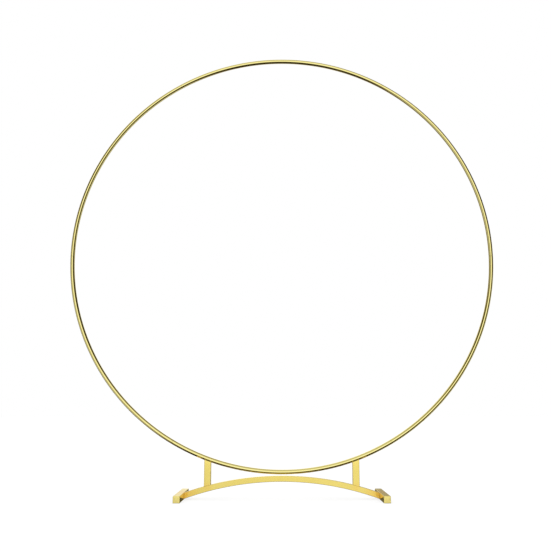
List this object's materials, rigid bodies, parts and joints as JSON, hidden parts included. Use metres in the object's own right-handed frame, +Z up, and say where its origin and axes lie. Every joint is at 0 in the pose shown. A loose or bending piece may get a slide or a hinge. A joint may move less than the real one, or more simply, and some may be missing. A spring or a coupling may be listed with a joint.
{
  "type": "wreath frame",
  "caption": "Floor-standing round hoop of polished gold tube for flowers or a backdrop, plugged into two short square posts on an arched bar with cross feet.",
  "frame": {"origin": "on the floor under the middle of the hoop, midway between the feet's front and back ends", "axes": "+Z up, +X to the right as seen from the front, +Y to the back; the front faces -Y and the hoop lies in the XZ plane"},
  "size_m": [2, 0.3066, 2.107],
  "materials": {
    "hoop_gold": "polished gold plating on steel tube",
    "base_gold": "polished gold plating on steel tube",
    "cap_gold": "gold metallised plastic, gloss",
    "zinc_steel": "bright zinc plating"
  },
  "bodies": {
    "base": {"arch_bar": "base_gold", "arch_plug_left": "zinc_steel", "arch_plug_right": "zinc_steel", "foot_bolt_left_back": "zinc_steel", "foot_bolt_left_front": "zinc_steel", "foot_bolt_right_back": "zinc_steel", "foot_bolt_right_front": "zinc_steel", "foot_cap_left_back": "cap_gold", "foot_cap_left_front": "cap_gold", "foot_cap_right_back": "cap_gold", "foot_cap_right_front": "cap_gold", "foot_left": "base_gold", "foot_right": "base_gold", "post_left": "base_gold", "post_nut_left": "base_gold", "post_nut_right": "base_gold", "post_right": "base_gold"},
    "hoop": {"hoop_ferrule_1": "zinc_steel", "hoop_ferrule_2": "zinc_steel", "hoop_ferrule_3": "zinc_steel", "hoop_ferrule_4": "zinc_steel", "hoop_ferrule_5": "zinc_steel", "hoop_ferrule_6": "zinc_steel", "hoop_screw_1": "zinc_steel", "hoop_screw_2": "zinc_steel", "hoop_screw_3": "zinc_steel", "hoop_screw_4": "zinc_steel", "hoop_screw_5": "zinc_steel", "hoop_screw_6": "zinc_steel", "hoop_segment_bottom": "hoop_gold", "hoop_segment_lower_left": "hoop_gold", "hoop_segment_lower_right": "hoop_gold", "hoop_segment_top": "hoop_gold", "hoop_segment_upper_left": "hoop_gold", "hoop_segment_upper_right": "hoop_gold", "hoop_stub_left": "hoop_gold", "hoop_stub_right": "hoop_gold"},
    "lock_screw_left": {"lock_screw_left": "zinc_steel"},
    "lock_screw_right": {"lock_screw_right": "zinc_steel"}
  },
  "joints": [
    {"name": "hoop_lift", "type": "slide", "parent": "base", "child": "hoop", "axis": [0, 0, 1], "range_m": [0, 0.075]},
    {"name": "lock_screw_left_turn", "type": "hinge", "parent": "base", "child": "lock_screw_left", "pos_m": [-0.3325, 0.015, 0.1339], "axis": [0, 1, 0], "range_deg": [0, 810]},
    {"name": "lock_screw_right_turn", "type": "hinge", "parent": "base", "child": "lock_screw_right", "pos_m": [0.3325, 0.015, 0.1339], "axis": [0, 1, 0], "range_deg": [0, 810]}
  ]
}
